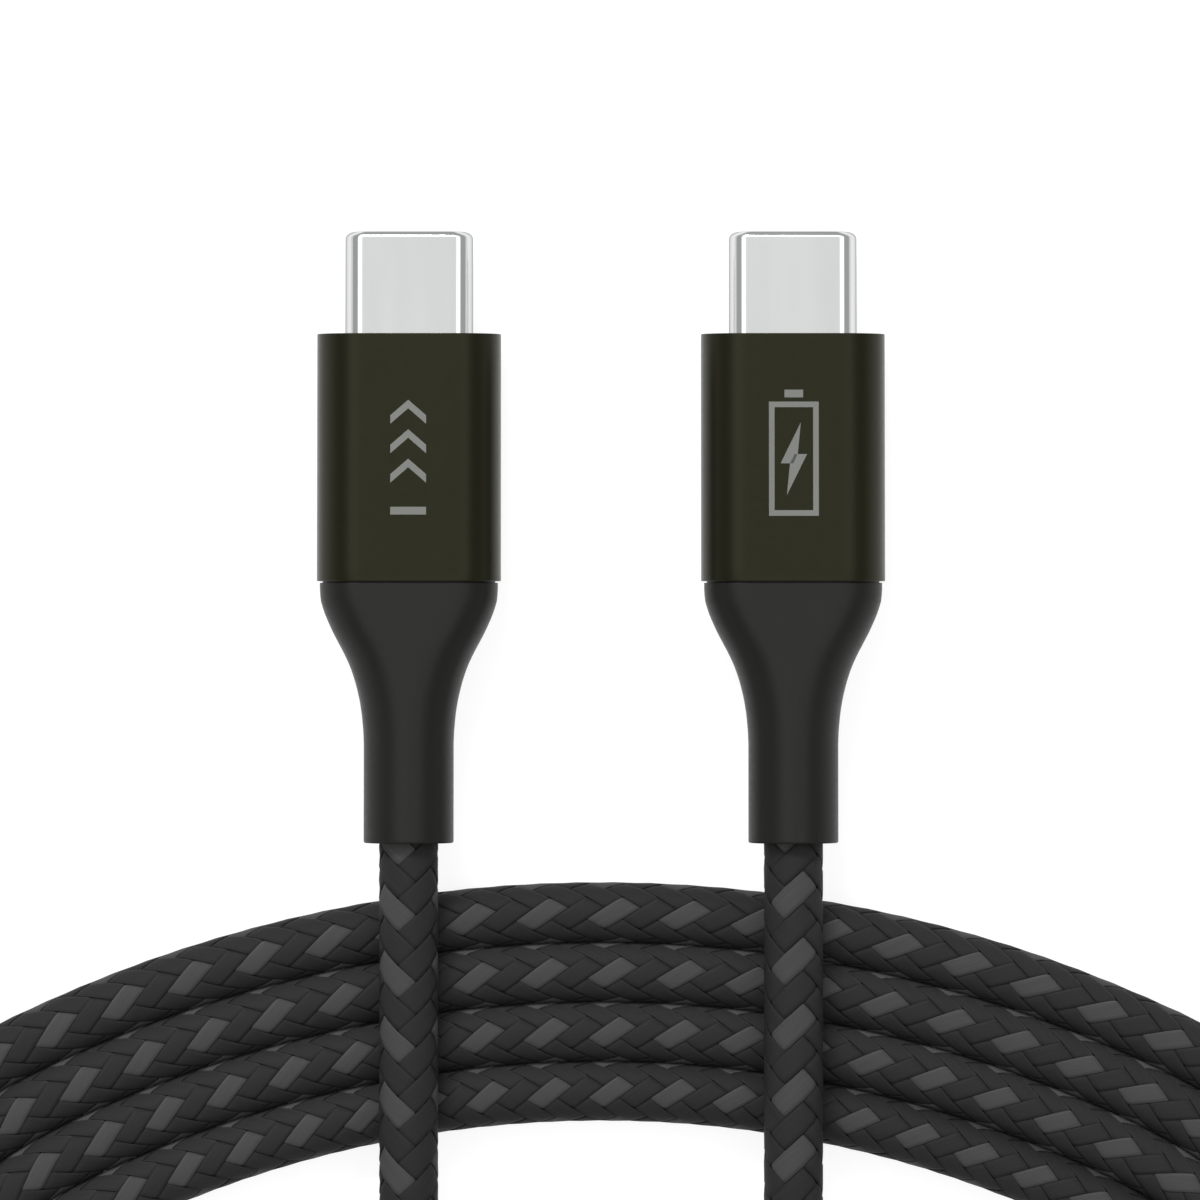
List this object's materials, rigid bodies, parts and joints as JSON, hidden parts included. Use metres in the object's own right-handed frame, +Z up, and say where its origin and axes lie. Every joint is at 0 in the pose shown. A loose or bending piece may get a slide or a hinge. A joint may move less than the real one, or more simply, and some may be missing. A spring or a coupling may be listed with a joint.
{
  "type": "charging cable",
  "caption": "Braided USB-C charging cable in a flat coil, with a steel-shelled plug, hard housing and tapered rubber boot at each end.",
  "frame": {"origin": "under the middle of the pair of plugs, on the surface they lie on", "axes": "+Y the way the plugs point, +Z up from the surface, +X to the right"},
  "size_m": [0.1096, 0.1065, 0.0081],
  "materials": {
    "plug_steel": "satin nickel-plated steel",
    "spring_steel": "stamped",
    "contact_gold": "gold plated",
    "insulator_black": "matte",
    "card_green": "solder mask",
    "component_beige": "matte",
    "chip_black": "matte",
    "mould_white": "matte",
    "ferrule_brass": "satin",
    "braid_black": "woven, dark grey with lighter grey yarns",
    "housing_black": "satin",
    "boot_black": "matte soft-touch",
    "wire_red": "satin",
    "wire_black": "satin",
    "wire_blue": "satin",
    "wire_yellow": "satin",
    "wire_green": "satin",
    "wire_white": "satin"
  },
  "bodies": {
    "cable": {"cord_coil": "braid_black", "cord_tail_left": "braid_black", "cord_tail_right": "braid_black"},
    "left_plug": {"left_plug_shell": "plug_steel", "left_front_insulator": "insulator_black", "left_rear_insulator": "insulator_black", "left_upper_contact_row": "contact_gold", "left_lower_contact_row": "contact_gold", "left_latch_plate": "spring_steel", "left_upper_ground_spring": "spring_steel", "left_lower_ground_spring": "spring_steel", "left_paddle_card": "card_green", "left_card_capacitor": "component_beige", "left_shield_can_upper": "spring_steel", "left_shield_can_lower": "spring_steel", "left_inner_mould": "mould_white", "left_crimp_ferrule": "ferrule_brass", "left_cord_end": "braid_black", "left_housing": "housing_black", "left_boot": "boot_black", "left_power_wire": "wire_red", "left_ground_wire": "wire_black", "left_control_wire": "wire_blue", "left_marker_power_wire": "wire_yellow", "left_data_plus_wire": "wire_green", "left_data_minus_wire": "wire_white"},
    "right_plug": {"right_plug_shell": "plug_steel", "right_front_insulator": "insulator_black", "right_rear_insulator": "insulator_black", "right_upper_contact_row": "contact_gold", "right_lower_contact_row": "contact_gold", "right_latch_plate": "spring_steel", "right_upper_ground_spring": "spring_steel", "right_lower_ground_spring": "spring_steel", "right_paddle_card": "card_green", "right_card_capacitor": "component_beige", "right_shield_can_upper": "spring_steel", "right_shield_can_lower": "spring_steel", "right_inner_mould": "mould_white", "right_crimp_ferrule": "ferrule_brass", "right_cord_end": "braid_black", "right_housing": "housing_black", "right_boot": "boot_black", "right_power_wire": "wire_red", "right_ground_wire": "wire_black", "right_control_wire": "wire_blue", "right_marker_power_wire": "wire_yellow", "right_data_plus_wire": "wire_green", "right_data_minus_wire": "wire_white", "right_marker_chip": "chip_black"}
  },
  "joints": [
    {"name": "left_boot_flex", "type": "hinge", "parent": "cable", "child": "left_plug", "pos_m": [-0.01239, -0.01328, 0.00483], "axis": [1, 0, 0], "range_deg": [0, 45], "stiffness_Nm_per_rad": 0.05, "deforming": ["left_boot", "left_cord_end"]},
    {"name": "right_boot_flex", "type": "hinge", "parent": "cable", "child": "right_plug", "pos_m": [0.01239, -0.01328, 0.00483], "axis": [1, 0, 0], "range_deg": [0, 45], "stiffness_Nm_per_rad": 0.05, "deforming": ["right_boot", "right_cord_end"]}
  ]
}
